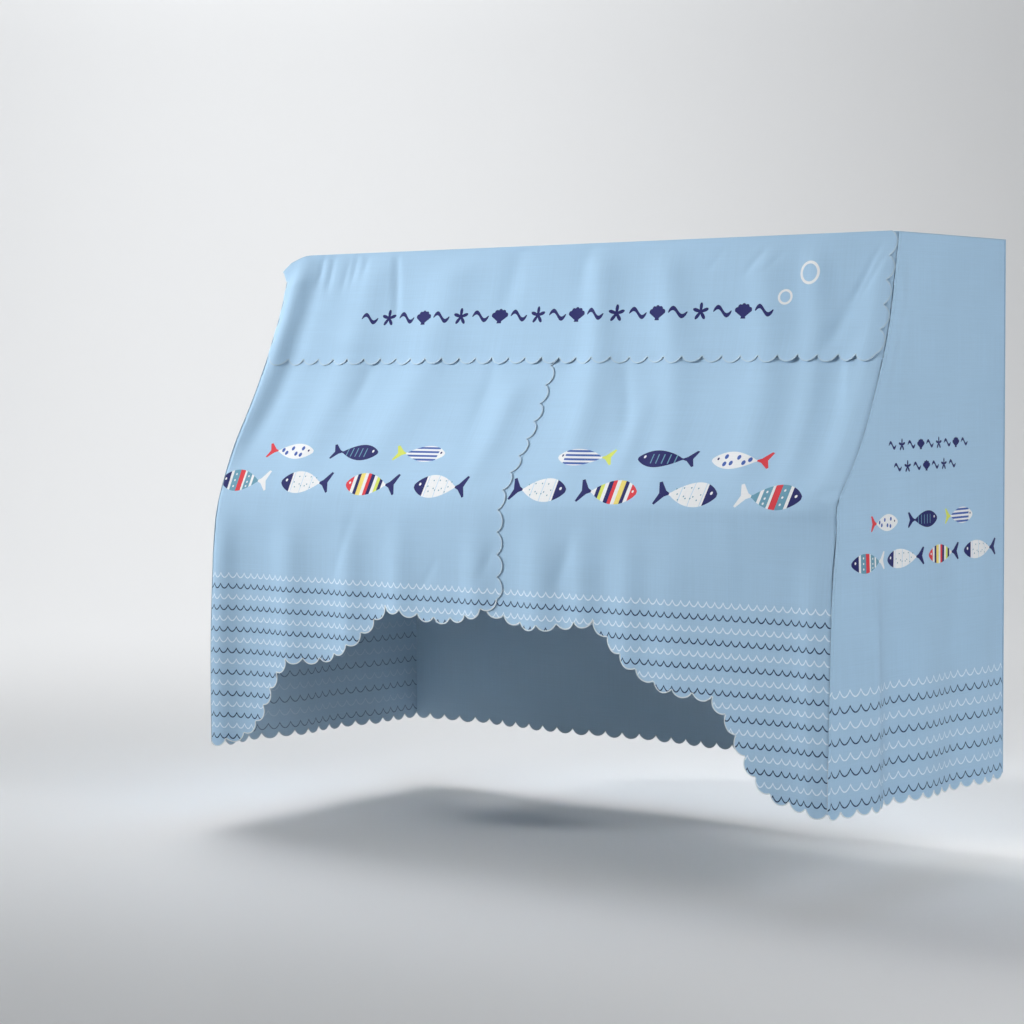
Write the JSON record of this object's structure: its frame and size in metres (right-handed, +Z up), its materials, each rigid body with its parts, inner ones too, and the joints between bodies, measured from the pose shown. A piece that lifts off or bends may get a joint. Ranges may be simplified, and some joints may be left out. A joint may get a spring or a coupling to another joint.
{
  "type": "piano dust cover",
  "caption": "Hollow printed cloth dust cover for an upright piano, with a flat top, a sloping front that falls to an arched scalloped hem, and a scalloped valance.",
  "frame": {"origin": "middle of the underside of the top panel, where the cover rests on what it covers", "axes": "+X along the width, to the right of someone facing the front; +Y from the front to the back; +Z up"},
  "size_m": [1.5298, 0.6849, 1.054],
  "materials": {
    "cloth": "matt plain weave, light blue, printed"
  },
  "bodies": {
    "root": {"top_panel": "cloth", "front_left": "cloth", "front_right": "cloth", "valance": "cloth", "side_left": "cloth", "side_right": "cloth", "back_panel": "cloth"}
  },
  "joints": []
}
